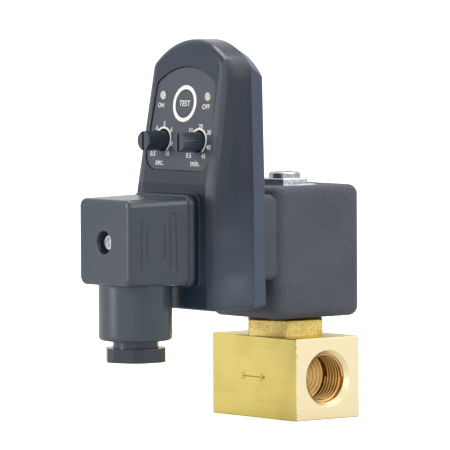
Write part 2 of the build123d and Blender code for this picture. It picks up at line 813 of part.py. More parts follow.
for dial, (x, z) in zip(("seconds", "minutes"), knob_places):
    with BuildPart() as shaft:
        add(rod(x, z, shaft_diameter, board_front + assembly_gap, shaft_front))
    shaft.part.label = dial + "_shaft"
    export_step(shaft.part, "parts/" + dial + "_shaft.step")

    # A slim knob with fine flutes and a screwdriver slot that also shows its setting.
    with BuildPart() as knob:
        add(rod(x, z, knob_diameter, knob_back, knob_front))
        chamfer(edges().filter_by(GeomType.CIRCLE), length=knob_edge)
        with BuildSketch(facing(knob_back)):
            with Locations((x, z)):
                with PolarLocations(knob_diameter / 2, knob_flutes):
                    Circle(knob_flute / 2)
        extrude(amount=knob_front - knob_back - 2 * knob_edge, mode=Mode.SUBTRACT)
        with BuildSketch(facing(knob_front)):
            with Locations((x, z)):
                Rectangle(knob_slot_width, knob_diameter)
        extrude(amount=-knob_slot_depth, mode=Mode.SUBTRACT)
        add(rod(x, z, shaft_diameter + 2 * moulding_gap, knob_back, shaft_front + moulding_gap),
            mode=Mode.SUBTRACT)
    knob.part.label = dial + "_knob"
    export_step(knob.part, "parts/" + dial + "_knob.step")


# ================================================================== circuit board and what it carries
with BuildPart() as circuit_board:
    with BuildSketch(facing(board_back)):
        with Locations((0, (board_bottom + board_top) / 2)):
            Rectangle(2 * board_half_width, board_top - board_bottom)
    extrude(amount=board_thickness)
    add(rod(0, plug_height, screw_clearance, board_back, board_front), mode=Mode.SUBTRACT)
circuit_board.part.label = "circuit_board"
export_step(circuit_board.part, "parts/circuit_board.step")

with BuildPart() as capacitors:
    add(rod(-capacitor_x, components_z, capacitor_diameter, board_front, board_front + capacitor_length))
    with BuildSketch(facing(board_front)):
        with Locations((film_x, components_z)):
            Rectangle(film_width, film_height)
    extrude(amount=film_depth)
capacitors.part.label = "capacitors"
export_step(capacitors.part, "parts/capacitors.step")

with BuildPart() as control_chip:
    with BuildSketch(facing(board_front)):
        with Locations((0, chip_z)):
            Rectangle(chip_width, chip_height)
    extrude(amount=chip_depth)
control_chip.part.label = "control_chip"
export_step(control_chip.part, "parts/control_chip.step")

# Spring contacts behind the board take the coil's blades.
with BuildPart() as socket_contacts:
    add(blades(rear_floor + assembly_gap, board_back, contact_wall + moulding_gap))
    add(blades(rear_floor + assembly_gap, board_back, moulding_gap), mode=Mode.SUBTRACT)
socket_contacts.part.label = "socket_contacts"
export_step(socket_contacts.part, "parts/socket_contacts.step")

with BuildPart() as plug_pins:
    add(blades(board_front, rim_back + insert_start + pin_reach))
plug_pins.part.label = "plug_pins"
export_step(plug_pins.part, "parts/plug_pins.step")


# ================================================================== cable plug
with BuildPart() as plug_gasket:
    with BuildSketch(facing(seat_front)):
        with Locations((0, plug_height)):
            RectangleRounded(rim_side, rim_side, seat_corner)
    extrude(amount=plug_gasket_height)
    add(blades(seat_front, rim_back, assembly_gap), mode=Mode.SUBTRACT)
    add(rod(0, plug_height, screw_clearance, seat_front, rim_back), mode=Mode.SUBTRACT)
plug_gasket.part.label = "plug_gasket"
export_step(plug_gasket.part, "parts/plug_gasket.step")


def plug_loft(start, end, width_start, height_start, width_end, height_end, corner):
    """A drafted block with rounded edges, from one depth to another."""
    with BuildPart() as block:
        for depth, width, height in ((start, width_start, height_start), (end, width_end, height_end)):
            with BuildSketch(facing(depth)):
                with Locations((0, plug_height)):
                    RectangleRounded(width, height, corner)
        loft()
    return block.part


plug_inner = plug_front - plug_wall
insert_back = rim_back + insert_start
insert_front = insert_back + insert_depth
boss_diameter = screw_well + 2 * screw_boss_wall
with BuildPart() as plug_housing:
    add(plug_loft(rim_front, plug_front, plug_root_width, plug_root_height, plug_face_width,
                  plug_face_height, plug_corner))
    fillet(faces().sort_by(Axis.Y)[0].edges(), radius=plug_face_edge)
    with BuildSketch(facing(rim_back)):
        with Locations((0, plug_height)):
            RectangleRounded(rim_side, rim_side, seat_corner)
    extrude(amount=rim_depth)
    # The cable barrel hangs from the block and ends in a narrower neck for the gland nut.
    with BuildSketch(Plane.XY.offset(barrel_bottom)):
        with Locations((0, -barrel_depth)):
            Circle(barrel_diameter / 2)
    extrude(amount=plug_height - barrel_bottom)
    fillet(faces().sort_by(Axis.Z)[0].edges(), radius=barrel_edge)
    with BuildSketch(Plane.XY.offset(neck_end)):
        with Locations((0, -barrel_depth)):
            Circle(neck_diameter / 2)
    extrude(amount=barrel_bottom - neck_end)
    add(plug_loft(rim_back, plug_inner, plug_root_width - 2 * plug_wall, plug_root_height - 2 * plug_wall,
                  plug_face_width - 2 * plug_wall, plug_face_height - 2 * plug_wall,
                  plug_corner - plug_wall / 2), mode=Mode.SUBTRACT)
    with BuildSketch(Plane.XY.offset(barrel_bottom + barrel_wall)):
        with Locations((0, -barrel_depth)):
            Circle(barrel_diameter / 2 - barrel_wall)
    extrude(amount=plug_height - plug_root_height / 2 + plug_wall - barrel_bottom - barrel_wall,
            mode=Mode.SUBTRACT)
    with BuildSketch(Plane.XY.offset(neck_end)):
        with Locations((0, -barrel_depth)):
            Circle(neck_bore / 2)
    extrude(amount=barrel_bottom + barrel_wall - neck_end, mode=Mode.SUBTRACT)
    add(rod(0, plug_height, boss_diameter, insert_front + assembly_gap, plug_inner))
    add(rod(0, plug_height, screw_well, screw_seat, plug_front), mode=Mode.SUBTRACT)
    add(rod(0, plug_height, screw_clearance, insert_front, plug_front), mode=Mode.SUBTRACT)
plug_housing.part.label = "plug_housing"
export_step(plug_housing.part, "parts/plug_housing.step")

insert_width = plug_face_width - 2 * plug_wall - 2 * assembly_gap
insert_height = plug_face_height - 2 * plug_wall - 2 * assembly_gap
with BuildPart() as terminal_insert:
    with BuildSketch(facing(insert_back)):
        with Locations((0, plug_height)):
            RectangleRounded(insert_width, insert_height, plug_corner - plug_wall / 2)
    extrude(amount=insert_depth)
    add(blades(insert_back, insert_back + pin_reach + assembly_gap, moulding_gap), mode=Mode.SUBTRACT)
    add(rod(0, plug_height, screw_clearance, insert_back, insert_front), mode=Mode.SUBTRACT)
terminal_insert.part.label = "terminal_insert"
export_step(terminal_insert.part, "parts/terminal_insert.step")

clamp_places = [(side * blade_spacing / 2 * clamp_share, plug_height) for side in (-1, 1)]
clamp_places.append((0, plug_height - earth_drop))
with BuildPart() as clamp_screws:
    for x, z in clamp_places:
        add(rod(x, z, clamp_screw_diameter, insert_front, insert_front + clamp_screw_height))
clamp_screws.part.label = "clamp_screws"
export_step(clamp_screws.part, "parts/clamp_screws.step")

with BuildPart() as centre_screw:
    add(rod(0, plug_height, screw_head, screw_seat, screw_seat + screw_head_height))
    fillet(faces().sort_by(Axis.Y)[0].edges(), radius=screw_head_edge)
    add(rod(0, plug_height, screw_diameter, screw_tip + assembly_gap, screw_seat))
    with BuildSketch(facing(screw_seat + screw_head_height)):
        with Locations((0, plug_height)):
            Rectangle(screw_cross_length, screw_cross)
            Rectangle(screw_cross, screw_cross_length)
    extrude(amount=-screw_head_height / 2, mode=Mode.SUBTRACT)
centre_screw.part.label = "centre_screw"
export_step(centre_screw.part, "parts/centre_screw.step")


# ================================================================== cable gland
gland_centre = (0, -barrel_depth)
half_flat = 180 / 6
washer_bottom = gland_nut_bottom + gland_lip
seal_bottom = washer_bottom + gland_washer_height
with BuildPart() as gland_nut:
    with BuildSketch(Plane.XY.offset(gland_nut_bottom)):
        with Locations(gland_centre):
            RegularPolygon(gland_flats / 2, 6, major_radius=False, rotation=gland_turn)
            RegularPolygon(gland_flats / 2 + gland_cap, 6, major_radius=False,
                           rotation=gland_turn + half_flat, mode=Mode.INTERSECT)
    extrude(amount=gland_nut_top - gland_nut_bottom)
    with BuildSketch(Plane.XY.offset(washer_bottom)):
        with Locations(gland_centre):
            Circle(neck_diameter / 2 + thread_gap)
    extrude(amount=gland_nut_top - washer_bottom, mode=Mode.SUBTRACT)
    with BuildSketch(Plane.XY.offset(gland_nut_bottom)):
        with Locations(gland_centre):
            Circle(cable_mouth / 2)
    extrude(amount=gland_lip, mode=Mode.SUBTRACT)
    chamfer(edges().filter_by(GeomType.CIRCLE).group_by(Axis.Z)[0], length=hex_chamfer)
gland_nut.part.label = "gland_nut"
export_step(gland_nut.part, "parts/gland_nut.step")

with BuildPart() as gland_washer:
    with BuildSketch(Plane.XY.offset(washer_bottom)):
        with Locations(gland_centre):
            Circle(neck_bore / 2 - assembly_gap)
            Circle(cable_mouth / 2, mode=Mode.SUBTRACT)
    extrude(amount=gland_washer_height)
gland_washer.part.label = "gland_washer"
export_step(gland_washer.part, "parts/gland_washer.step")

with BuildPart() as gland_seal:
    with BuildSketch(Plane.XY.offset(seal_bottom)):
        with Locations(gland_centre):
            Circle(neck_bore / 2 - moulding_gap)
            Circle(cable_bore / 2, mode=Mode.SUBTRACT)
    extrude(amount=gland_seal_height)
gland_seal.part.label = "gland_seal"
export_step(gland_seal.part, "parts/gland_seal.step")
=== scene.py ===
# %% [markdown]
# # A timed drain valve for compressed air
# The real product is a brass two-way valve. A coil in a moulded block lifts its plunger, a timer
# plugs on to the coil, and a cable plug goes on to the timer. The packed model already has all
# the solids at their real sizes, so this lesson adds what solids leave out: the screw threads in
# the ports, the printing on the control panel, the marks cut into brass and plastic, and the
# finish of every surface.

# %% Load the packed model
import json
from math import cos, radians, sin, tau

import bmesh
import bpy
from mathutils import Matrix, Vector


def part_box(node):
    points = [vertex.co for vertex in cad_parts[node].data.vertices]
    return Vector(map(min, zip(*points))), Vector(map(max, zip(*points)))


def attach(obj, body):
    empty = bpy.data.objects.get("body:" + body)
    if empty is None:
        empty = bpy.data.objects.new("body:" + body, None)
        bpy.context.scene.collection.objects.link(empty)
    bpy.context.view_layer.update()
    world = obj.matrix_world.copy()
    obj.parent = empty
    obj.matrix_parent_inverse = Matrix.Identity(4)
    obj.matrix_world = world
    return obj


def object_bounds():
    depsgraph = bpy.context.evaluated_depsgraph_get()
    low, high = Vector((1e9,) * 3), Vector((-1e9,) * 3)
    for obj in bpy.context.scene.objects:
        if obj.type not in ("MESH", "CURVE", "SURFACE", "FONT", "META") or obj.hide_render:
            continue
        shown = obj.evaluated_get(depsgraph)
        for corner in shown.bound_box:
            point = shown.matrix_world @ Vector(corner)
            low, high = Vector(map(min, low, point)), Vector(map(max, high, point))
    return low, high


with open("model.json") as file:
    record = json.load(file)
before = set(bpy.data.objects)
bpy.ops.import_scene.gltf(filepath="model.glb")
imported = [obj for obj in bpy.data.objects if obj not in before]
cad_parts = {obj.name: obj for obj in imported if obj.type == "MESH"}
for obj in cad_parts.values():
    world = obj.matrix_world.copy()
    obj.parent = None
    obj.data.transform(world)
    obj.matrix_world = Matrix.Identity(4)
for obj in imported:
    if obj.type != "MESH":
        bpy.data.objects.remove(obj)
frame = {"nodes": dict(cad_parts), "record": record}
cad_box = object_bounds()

# %% [markdown]
# ## Units
# Everything in the scene is in metres, but a part this small reads better in millimetres. A
# helper turns a length in millimetres into metres, and another turns a paint swatch into the
# linear light values that shader nodes expect.

# %% Millimetres and swatches
MM = 0.001


def mm(*lengths):
    """One length, or a point given by three, in metres."""
    return Vector(lengths) * MM if len(lengths) > 1 else lengths[0] * MM


def swatch(code):
    """A colour written as six hex digits, as linear red, green, blue and an alpha of 1."""
    channels = [int(code[i:i + 2], 16) / 255 for i in (0, 2, 4)]
    linear = [c / 12.92 if c <= 0.04045 else ((c + 0.055) / 1.055) ** 2.4 for c in channels]
    return (*linear, 1.0)


print("1 mm is", mm(1), "and mid grey is", [round(c, 3) for c in swatch("808080")])

# %% [markdown]
# ## Camera
# Product pictures of small fittings are taken from far away with a long lens, which keeps
# parallel edges nearly parallel. The camera stands to the right of the operator's side, a little
# above the valve's middle. It is built from three directions: back towards the camera, right and
# up. A small roll keeps the hood's edges as upright as they are on the real one.

# %% Camera
view_azimuth = radians(50.528)
view_elevation = radians(3.41)
view_roll = radians(-0.268)
view_distance = 1.6838
view_pivot = mm(0, 0, 55)
aim_left = mm(18.7)
aim_up = mm(4.44)
lens_length = 431.0

back = Vector((sin(view_azimuth) * cos(view_elevation),
               -cos(view_azimuth) * cos(view_elevation), sin(view_elevation)))
level_right = Vector((cos(view_azimuth), sin(view_azimuth), 0))
level_up = back.cross(level_right)
image_right = level_right * cos(view_roll) + level_up * sin(view_roll)
image_up = level_up * cos(view_roll) - level_right * sin(view_roll)

eye = view_pivot + back * view_distance
aim = view_pivot - image_right * aim_left + image_up * aim_up
camera_back = (eye - aim).normalized()
camera_right = image_up.cross(camera_back).normalized()
camera_up = camera_back.cross(camera_right)

camera_data = bpy.data.cameras.new("camera")
camera_data.lens = lens_length
camera_data.clip_start = 0.05
camera_data.clip_end = 20
camera = bpy.data.objects.new("camera", camera_data)
camera.matrix_world = Matrix.Translation(eye) @ Matrix(
    (camera_right, camera_up, camera_back)).transposed().to_4x4()
bpy.context.collection.objects.link(camera)
bpy.context.scene.camera = camera
print("camera at", [round(c, 3) for c in eye], "with a lens of", lens_length, "mm")

# %% [markdown]
# ## Shader maths as plain Python
# A material is a network of nodes. Wiring each sum by hand hides what it means, so one small
# class wraps a node's output. Its operators add the Math nodes, its `mix` method blends two
# colours, and any other node comes from its `node` method.

# %% Fields
class Field:
    """One output of a material's nodes, which can be used in a formula."""

    def __init__(self, tree, socket=None):
        self.tree = tree
        self.socket = socket

    def node(self, kind, settings=None, sockets=None, output=0):
        """Adds a node: its settings come first, then the values or links of its sockets."""
        made = self.tree.nodes.new(kind)
        for name, value in (settings or {}).items():
            if name == "stops":
                for place, colour in value[1:-1]:
                    made.color_ramp.elements.new(place).color = colour
                for element, (place, colour) in ((0, value[0]), (-1, value[-1])):
                    made.color_ramp.elements[element].position = place
                    made.color_ramp.elements[element].color = colour
            else:
                setattr(made, name, value)
        for name, value in (sockets or {}).items():
            if isinstance(value, Field):
                self.tree.links.new(value.socket, made.inputs[name])
            else:
                made.inputs[name].default_value = value
        return Field(self.tree, made.outputs[output])

    def maths(self, operation, *values):
        return self.node("ShaderNodeMath", {"operation": operation}, dict(enumerate(values)))

    def __add__(self, other):
        return self.maths("ADD", self, other)

    __radd__ = __add__

    def __mul__(self, other):
        return self.maths("MULTIPLY", self, other)

    __rmul__ = __mul__

    def __sub__(self, other):
        return self.maths("SUBTRACT", self, other)

    def __rsub__(self, other):
        return self.maths("SUBTRACT", other, self)

    def __abs__(self):
        return self.maths("ABSOLUTE", self)

    def most(self, other):
        """The larger of the two."""
        return self.maths("MAXIMUM", self, other)

    def rise(self, low, high):
        """0 below low, 1 above high, and smooth between them."""
        return self.node("ShaderNodeMapRange", {"interpolation_type": "SMOOTHSTEP"},
                         {"Value": self, "From Min": low, "From Max": high})

    def within(self, limit, blend):
        """1 well below the limit and 0 well above it, with a smooth step of the blend each way."""
        return 1 - self.rise(limit - blend, limit + blend)

    def mix(self, first, second):
        """This field blends from the first colour, at 0, to the second, at 1."""
        return self.node("ShaderNodeMix", {"data_type": "RGBA"}, {0: self, 6: first, 7: second}, 2)

    def noise(self, scale, detail=3.0, roughness=0.5, stretch=(1, 1, 1)):
        """Soft random values about 0.5, on this position field. The scale is in waves per mm."""
        size = tuple(part * scale / MM for part in stretch)
        spread = self.node("ShaderNodeMapping", {}, {"Vector": self, "Scale": size})
        return self.node("ShaderNodeTexNoise", {}, {"Vector": spread, "Scale": 1.0,
                                                     "Detail": detail, "Roughness": roughness})

    def along(self, axis):
        """The position along X, Y or Z, in millimetres."""
        return self.node("ShaderNodeSeparateXYZ", {}, {0: self}, axis) * (1 / MM)


print("operators on fields:", [name for name in vars(Field) if name.startswith("__")][1:])

# %% [markdown]
# ## The frame of every finish
# Each finish is a Principled material whose pattern is worked out from the place on the object,
# so that it stays put from all sides. No moulded or machined edge is perfectly sharp, so the
# normal of every finish is first rounded a little at the edges, by a Bevel node, and the fine
# texture goes on top as a bump.

# %% Starting and closing a finish
def start_finish(name):
    """A new material, the field that its nodes grow from, and the position field."""
    material = bpy.data.materials.new(name)
    material.use_nodes = True
    desk = Field(material.node_tree)
    return material, desk, desk.node("ShaderNodeTexCoord", output="Object")


def soft_edges(desk, radius):
    """The normal as it is once every edge is rounded by a radius in mm."""
    return desk.node("ShaderNodeBevel", {"samples": 6}, {"Radius": mm(radius)})


def close_finish(material, relief, relief_height, rounded, channels):
    """Connects the channels of the Principled node, with relief as a bump of that height in mm."""
    surface = material.node_tree.nodes["Principled BSDF"]
    desk = Field(material.node_tree)
    bump = desk.node("ShaderNodeBump", {}, {"Height": relief, "Distance": mm(relief_height),
                                             "Strength": 1.0, "Normal": rounded})
    for name, value in {**channels, "Normal": bump}.items():
        if isinstance(value, Field):
            material.node_tree.links.new(value.socket, surface.inputs[name])
        else:
            surface.inputs[name].default_value = value
    print("finish", material.name, "has", len(material.node_tree.nodes), "nodes")
    return material


# %% [markdown]
# ## Moulded plastics
# The timer case and the cable plug are moulded in a dark blue-grey nylon. Its mould was spark
# eroded, so the skin has a fine grain that breaks up the gloss, and it is never quite one tone.
# A function makes each plastic from two tones, a gloss and the size of its grain, because the
# real ones differ mostly in these. The front of the timer case also curves away broadly beside
# the panel, which a wide Bevel node shows. Towards its foot, where the plug shades it, the front is
# painted paler, as painted light that lifts that shade.

# %% Plastic finishes
curve_blend = 1.2
# Where the painted light at the foot of the timer's front fades out, and how strong it is.
foot_middle = 52.5
foot_blend = 27.5
foot_light_share = 0.7


def plastic(name, light, dark, gloss_low, gloss_high, grain, grain_height, edge=0.12, shine=0.5,
            rim=None):
    """A moulded plastic: cloudy between two tones, with a fine eroded grain. Its edges are rounded
    by a radius, and its shine is the strength of its reflections. A rim, if given, is how far
    from the middle the part starts to curve away, the radius of that curve, and the paler tone
    painted towards the part's foot as painted light in the shade of the plug."""
    material, desk, place = start_finish(name)
    rounded = soft_edges(desk, edge)
    clouds = place.noise(0.05, 4.0).rise(0.35, 0.65)
    speckle = place.noise(grain, 2.0).rise(0.3, 0.7)
    fine = place.noise(grain * 2.6, 1.0)
    tone = (clouds * 0.4 + speckle * 0.6).mix(swatch(dark), swatch(light))
    if rim:
        curve_start, curve_radius, foot_painted_light = rim
        outside = abs(place.along("X")).rise(curve_start, curve_start + curve_blend)
        rounded = outside.mix(rounded, soft_edges(desk, curve_radius))
        # Painted light: the front is painted paler towards its foot, where the plug shades it.
        foot_light_mask = place.along("Z").within(foot_middle, foot_blend)
        tone = (foot_light_mask * foot_light_share).mix(tone, swatch(foot_painted_light))
    gloss = place.noise(0.3, 3.0) * (gloss_high - gloss_low) + gloss_low
    return close_finish(material, speckle * 0.7 + fine * 0.3, grain_height, rounded,
                        {"Base Color": tone, "Roughness": gloss, "Specular IOR Level": shine})


# The last tone of the timer's rim is the painted light at its foot.
timer_nylon = plastic("timer_nylon", "212f3f", "1c2836", 0.13, 0.19, 2.2, 0.004, 0.3, 0.50,
                      (15.2, 8.0, "3e4e60"))
rear_nylon = plastic("rear_nylon", "485265", "404a5b", 0.30, 0.42, 2.2, 0.010, 0.2, 0.35)
plug_nylon = plastic("plug_nylon", "3b4550", "333d48", 0.22, 0.30, 2.2, 0.005, 0.9)
gland_nylon = plastic("gland_nylon", "2a333f", "232b36", 0.14, 0.24, 2.2, 0.006, 0.7)
knob_plastic = plastic("knob_plastic", "34424d", "2c3a45", 0.28, 0.38, 3.0, 0.008, 0.10)
coil_resin = plastic("coil_resin", "50535f", "3b3e4a", 0.58, 0.72, 1.4, 0.035)
bobbin_nylon = plastic("bobbin_nylon", "d9d5c6", "cdc8b8", 0.40, 0.50, 2.0, 0.010)
part_plastic = plastic("part_plastic", "26282b", "1c1e20", 0.40, 0.50, 2.0, 0.010)
soft_rubber = plastic("soft_rubber", "14181d", "0f1216", 0.60, 0.75, 1.8, 0.020, 0.12, 0.2)

# %% [markdown]
# ## Brass
# The body is sawn from drawn brass bar. The bar's own faces keep long faint lines along the way
# it was drawn, and the two sawn and faced ends are smoother, with a haze of turning marks round
# the port. The ends and the mouths of the ports are painted paler, a painted highlight of the
# light that falls on that side. Inside the port the metal is seen by light that has already been
# reflected by brass, so it looks deeper, and the tool left rings there. The passage behind the
# port lies in the dark. Handling has nicked the upright edges. The hexagon was milled, which
# left upright lines and a fine grit on its flats.

# %% Brass finishes
body_low, body_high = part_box("valve_body")
port_z = (body_low.z + body_high.z) / 2 / MM
end_x = body_high.x / MM
side_y = body_high.y / MM
end_skin = 0.08
mouth_radius = 9.2
mouth_depth = 1.45
wall_radius = 7.9
wall_start = 1.3
passage_radius = 2.675
passage_start = 11.5
nick_reach = 0.45
brass_bar = swatch("dcca7c")
brass_bar_dark = swatch("bfae5a")
# Painted highlight: the ends and the port mouths are painted paler, for the light that falls on that
# side.
painted_end_highlight = swatch("f3e3bb")
brass_bore = swatch("dcb878")
brass_bore_dark = swatch("b88d4c")
brass_deep = swatch("5a4228")
brass_nick = swatch("8c6a34")


def brass_body():
    material, desk, place = start_finish("drawn_brass")
    x, y, z = (place.along(axis) for axis in "XYZ")
    across = place.maths("SQRT", y * y + (z - port_z) * (z - port_z))
    end_face = 1 - abs(x).within(end_x - end_skin, 0.04)
    in_mouth = across.within(mouth_radius, 0.2) * (1 - abs(x).within(end_x - mouth_depth, 0.15))
    in_bore = across.within(wall_radius, 0.2) * abs(x).within(end_x - wall_start, 0.2)
    in_passage = across.within(passage_radius, 0.075) * abs(x).within(end_x - passage_start, 0.5)
    draw_lines = place.noise(1.4, 4.0, 0.6, (0.03, 1, 1))
    stains = place.noise(0.09, 5.0, 0.6).rise(0.45, 0.75)
    turned = place.maths("SINE", across * 14.0) * 0.5 + 0.5
    drilled = place.maths("SINE", across * 6.5 + draw_lines * 3.0) * 0.5 + 0.5
    near_end = 1 - abs(x).within(end_x - nick_reach, 0.25)
    upright_edge = near_end * (1 - abs(y).within(side_y - nick_reach, 0.25))
    nicks = upright_edge * place.noise(1.1, 2.0).rise(0.56, 0.66)
    bar = (draw_lines * 0.6 + stains * 0.4).mix(brass_bar, brass_bar_dark)
    # The ends and the port mouths take the painted highlight tone.
    tone = in_bore.mix(end_face.most(in_mouth).mix(bar, painted_end_highlight),
                       drilled.mix(brass_bore, brass_bore_dark))
    tone = in_passage.mix(tone, brass_deep)
    tone = (nicks * 0.8).mix(tone, brass_nick)
    rough = (draw_lines * 0.14 + 0.26) * (1 - end_face) + (turned * 0.05 + 0.30) * end_face
    relief = draw_lines * (1 - end_face) + turned * 0.3 * end_face + drilled * in_bore - nicks * 2.0
    return close_finish(material, relief, 0.010, soft_edges(desk, 0.15),
                        {"Base Color": tone, "Roughness": rough, "Metallic": 1.0})


def brass_hexagon():
    material, desk, place = start_finish("milled_brass")
    mill_lines = place.noise(2.6, 4.0, 0.7, (1, 1, 0.04))
    stains = place.noise(0.25, 4.0, 0.6).rise(0.4, 0.7)
    grit = place.noise(1.6, 4.0, 0.7).rise(0.42, 0.62)
    tone = (mill_lines * 0.4 + stains * 0.25 + grit * 0.35).mix(swatch("efda90"), swatch("a2863f"))
    rough = mill_lines * 0.2 + 0.34
    return close_finish(material, mill_lines + grit, 0.035, soft_edges(desk, 0.15),
                        {"Base Color": tone, "Roughness": rough, "Metallic": 1.0})


drawn_brass = brass_body()
milled_brass = brass_hexagon()

# %% [markdown]
# ## Steel, copper and tin
# The nut, its washer and the screws are zinc plated, which is bright and slightly blue with a
# soft mottle. The armature tube and the plunger are plain stainless steel with turning lines.
# The blades are tinned. One function makes them all from a tone, a roughness and the direction
# in which their fine lines are drawn out.

# %% Bare metals
def metal(name, light, dark, rough_low, rough_high, stretch, line_height, edge=0.1):
    """A bare metal with fine lines that run the way it was worked."""
    material, desk, place = start_finish(name)
    lines = place.noise(2.0, 3.0, 0.6, stretch)
    mottle = place.noise(0.5, 3.0).rise(0.35, 0.65)
    tone = (lines * 0.5 + mottle * 0.5).mix(swatch(dark), swatch(light))
    rough = (lines * 0.5 + mottle * 0.5) * (rough_high - rough_low) + rough_low
    return close_finish(material, lines, line_height, soft_edges(desk, edge),
                        {"Base Color": tone, "Roughness": rough, "Metallic": 1.0})


zinc_plate = metal("zinc_plate", "e4e8ec", "b9c0c8", 0.16, 0.34, (1, 1, 1), 0.008)
stainless = metal("stainless", "d6d6d4", "a9aaa9", 0.20, 0.32, (1, 1, 0.05), 0.006)
copper_wire = metal("copper_wire", "d98a5c", "b56a3f", 0.25, 0.40, (0.05, 0.05, 1), 0.012)
tin_plate = metal("tin_plate", "dcdcd8", "bfc0bd", 0.28, 0.40, (1, 0.06, 1), 0.006)

# %% [markdown]
# ## Film, lenses, laminate and ink
# The control panel is a printed film with a faint leathery skin. The lamps are milky lenses.
# The board inside is green glass laminate with the weave just showing. Ink lies on the film as
# a thin, slightly uneven white layer. The plug's fine lines are painted in a darker nylon, as the
# painted shade inside them.

# %% Film, lens, laminate and ink finishes
overlay_film = plastic("overlay_film", "373e4c", "313846", 0.36, 0.46, 3.5, 0.006, 0.05)
white_ink = plastic("white_ink", "eceee9", "dfe1dc", 0.50, 0.60, 3.0, 0.004, 0.02)
mark_shadow = plastic("mark_shadow", "1c232b", "171d24", 0.45, 0.55, 2.0, 0.006, 0.05)
lamp_milk = plastic("lamp_milk", "c9c6b8", "b4b1a4", 0.25, 0.35, 1.2, 0.004, 0.1)


strands = 9.0


def laminate():
    material, desk, place = start_finish("green_laminate")
    warp = place.maths("SINE", place.along("X") * strands)
    weft = place.maths("SINE", place.along("Z") * strands)
    weave = warp * weft * 0.5 + 0.5
    tone = weave.mix(swatch("1f5a3c"), swatch("2a6b49"))
    return close_finish(material, weave, 0.004, soft_edges(desk, 0.05),
                        {"Base Color": tone, "Roughness": 0.35})


green_laminate = laminate()

# %% [markdown]
# ## Giving each solid its finish
# The record names a material slot for every node, so most nodes get their finish by slot. A few
# pieces share a slot but not a look, such as the milled hexagon, the knobs, the plug and the
# gland nut, and they are named one by one.

# %% Finishes by slot and by node
by_slot = {
    "brass": drawn_brass, "stainless_steel": stainless, "zinc_steel": zinc_plate,
    "copper": copper_wire, "timer_plastic": timer_nylon, "coil_plastic": coil_resin,
    "overlay_film": overlay_film, "rubber": soft_rubber, "bobbin_plastic": bobbin_nylon,
    "circuit_laminate": green_laminate, "component_plastic": part_plastic,
    "lamp_lens": lamp_milk, "tin_plate": tin_plate,
}
by_node = {
    "bonnet": milled_brass, "rear_cover": rear_nylon, "plug_housing": plug_nylon,
    "gland_nut": gland_nylon, "seconds_knob": knob_plastic, "minutes_knob": knob_plastic,
    "test_button": overlay_film,
}
for subpart in frame["record"]["subparts"]:
    node = subpart["node"]
    finish = by_node.get(node, by_slot[subpart["material_slot"]])
    for material_slot in frame["nodes"][node].material_slots:
        material_slot.material = finish

# %% [markdown]
# ## Placing new pieces
# A new piece is shaped about its own origin in millimetres, where numbers are easy to read, and
# then its mesh is moved to its place by a matrix. Its object stays at the world origin, as the
# solids' objects do. Normals are recalculated once the doubles are merged.

# %% From a bmesh or a curve to a placed piece
def place_mesh(name, mesh, matrix, finish, body):
    """Makes a piece of a mesh in mm, puts it in place and lets it ride on a body."""
    mesh.transform(matrix @ Matrix.Scale(MM, 4))
    mesh.materials.clear()
    mesh.materials.append(finish)
    piece = bpy.data.objects.new(name, mesh)
    bpy.context.collection.objects.link(piece)
    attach(piece, body)
    print(name, "has", len(mesh.polygons), "faces")
    return piece


def place_bmesh(name, shape, matrix, finish, body, smooth=True):
    bmesh.ops.remove_doubles(shape, verts=shape.verts, dist=0.001)
    bmesh.ops.recalc_face_normals(shape, faces=shape.faces)
    for face in shape.faces:
        face.smooth = smooth
    mesh = bpy.data.meshes.new(name)
    shape.to_mesh(mesh)
    shape.free()
    return place_mesh(name, mesh, matrix, finish, body)


def place_curve(name, curve, matrix, finish, body):
    """Turns a text or stroke curve into a mesh and places it."""
    holder = bpy.data.objects.new(name + ".source", curve)
    mesh = bpy.data.meshes.new_from_object(holder)
    mesh.name = name
    bpy.data.objects.remove(holder)
    return place_mesh(name, mesh, matrix, finish, body)


def basis(origin, right, up):
    """A matrix whose x runs to the right and whose y runs up, from an origin in metres."""
    right, up = Vector(right).normalized(), Vector(up).normalized()
    return Matrix.Translation(origin) @ Matrix((right, up, right.cross(up))).transposed().to_4x4()


# %% [markdown]
# ## Threads in the ports
# A pipe screws into each end of the body, so both ports carry an internal pipe thread. A thread
# is one ridge that winds round the bore. Its profile, a triangle with a narrow flat crest, is
# spun about the port's axis while it moves along by one pitch for each turn. Its foot lies just
# inside the brass, so that no gap shows.

# %% Port threads
thread_pitch = 1.337
thread_turns = 6
steps_per_turn = 64
bore_radius = 7.475
root_radius = bore_radius + 0.06
crest_radius = bore_radius - 0.62
root_half = thread_pitch * 0.42
crest_half = 0.1
mouth_chamfer = 1.2


def port_thread(side, name):
    shape = bmesh.new()
    profile = ((-root_half, root_radius), (-crest_half, crest_radius),
               (crest_half, crest_radius), (root_half, root_radius))
    ring = [shape.verts.new((radius, 0, -along)) for along, radius in profile]
    loop = [shape.edges.new((ring[i], ring[(i + 1) % len(ring)])) for i in range(len(ring))]
    bmesh.ops.spin(shape, geom=ring + loop, cent=(0, 0, 0), axis=(0, 0, 1),
                   dvec=(0, 0, -thread_pitch / steps_per_turn), angle=tau * thread_turns,
                   steps=steps_per_turn * thread_turns, use_merge=False)
    bmesh.ops.holes_fill(shape, edges=[e for e in shape.edges if e.is_boundary], sides=len(ring))
    mouth = Vector((side * (body_high.x - mm(mouth_chamfer + thread_pitch / 2)), 0, port_z * MM))
    place = basis(mouth, (0, side, 0), (0, 0, 1))
    return place_bmesh(name, shape, place, drawn_brass, "valve")


port_thread(1, "outlet_thread")
port_thread(-1, "inlet_thread")

# %% [markdown]
# ## Marks drawn as strokes
# The flow arrow is engraved in the body, and the fine lines on the plug's sides are moulded in.
# Both have round ends. Each is drawn as a stroke: a curve with a round bevel, pressed almost
# flat on the surface, in the tone of the shade inside the real mark.

# %% Strokes
stroke_relief = 0.08


